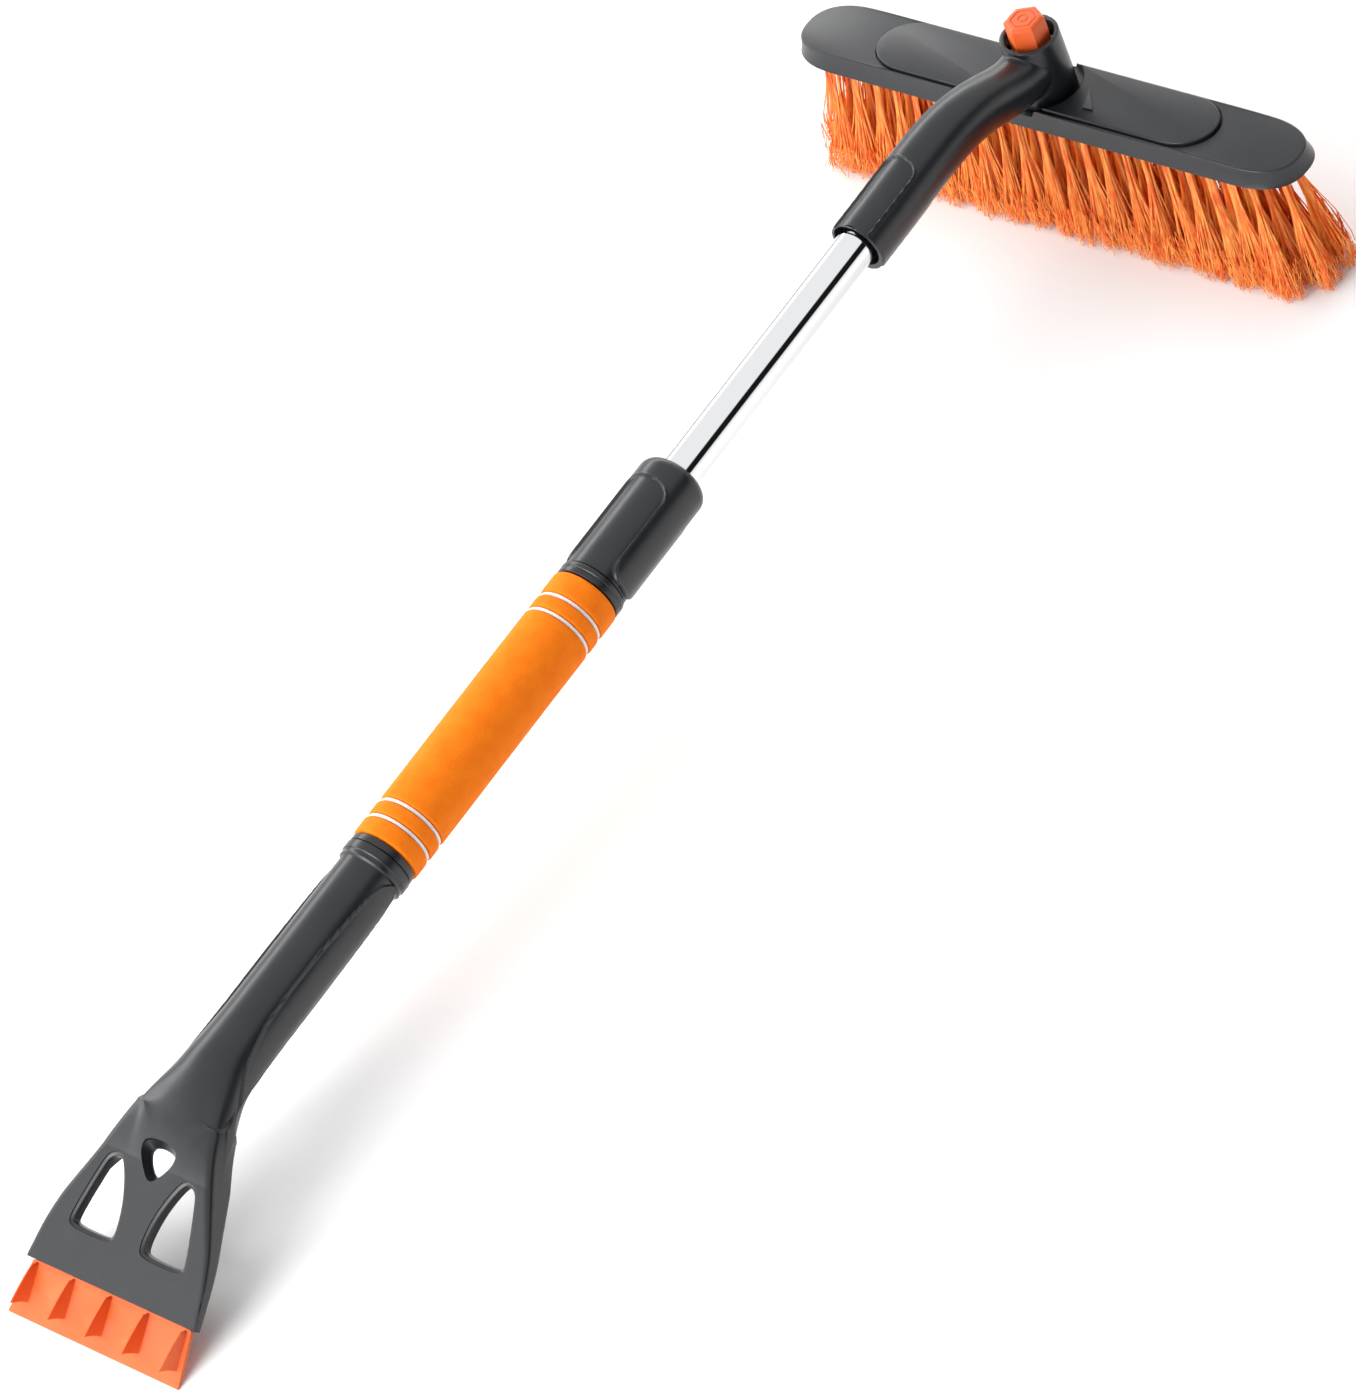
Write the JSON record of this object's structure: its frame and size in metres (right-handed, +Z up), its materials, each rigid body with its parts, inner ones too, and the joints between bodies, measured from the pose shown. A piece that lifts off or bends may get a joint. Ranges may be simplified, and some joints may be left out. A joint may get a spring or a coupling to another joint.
{
  "type": "snow brush scraper",
  "caption": "Telescopic car snow brush: wide bristle head on a turning pivot with a lock button, sliding tube with twist collar, foam grip, and a toothed ice scraper blade.",
  "frame": {"origin": "on the floor, under the middle of the tool's box; the tool lies on its bristle tips and its scraper edge", "axes": "+X along the brush head, +Y from the scraper to the brush, +Z up"},
  "size_m": [0.2934, 0.747, 0.1138],
  "materials": {
    "black_plastic": "fine-grained matt moulding",
    "orange_plastic": "satin moulding",
    "orange_foam": "matt closed-cell foam",
    "white_foam": "matt closed-cell foam",
    "bristle": "drawn filament with split tips",
    "chrome": "polished plating",
    "aluminium": "drawn tube",
    "nylon": "natural moulding",
    "steel": "zinc-plated"
  },
  "bodies": {
    "handle": {"scraper_body": "black_plastic", "scraper_blade": "orange_plastic", "outer_tube": "aluminium", "handle_screw": "steel", "foam_grip": "orange_foam", "grip_stripe_1": "white_foam", "grip_stripe_2": "white_foam", "grip_stripe_3": "white_foam", "grip_stripe_4": "white_foam", "grip_end_ring": "black_plastic", "tube_ferrule": "black_plastic", "collet": "nylon"},
    "collar": {"twist_collar": "black_plastic"},
    "boom": {"inner_tube": "chrome", "tube_guide": "nylon", "gooseneck": "black_plastic", "neck_screw": "steel", "button_spring": "steel"},
    "button": {"push_button": "orange_plastic", "lock_ring": "nylon"},
    "brush": {"brush_cover": "black_plastic", "pivot_washer": "steel", "pivot_screw": "steel", "brush_block": "black_plastic", "block_screw_1": "steel", "block_screw_2": "steel", "block_screw_3": "steel", "block_screw_4": "steel", "bristle_row_1": "bristle", "bristle_row_2": "bristle", "bristle_row_3": "bristle", "bristle_row_4": "bristle"}
  },
  "joints": [
    {"name": "tube_slide", "type": "slide", "parent": "handle", "child": "boom", "axis": [0, 0.9963, 0.0859], "range_m": [-0.133, 0.085]},
    {"name": "collar_twist", "type": "hinge", "parent": "handle", "child": "collar", "pos_m": [0, 0.35416, 0.10747], "axis": [0, 0.9963, 0.0859], "range_deg": [0, 120]},
    {"name": "brush_turn", "type": "hinge", "parent": "boom", "child": "brush", "pos_m": [0, 0.35416, 0.07262], "axis": [0, 0, 1], "continuous": true},
    {"name": "button_press", "type": "slide", "parent": "boom", "child": "button", "axis": [0, 0, -1], "range_m": [0, 0.003], "stiffness_N_per_m": 400, "springref_m": -0.002, "deforming": ["button_spring"]}
  ]
}
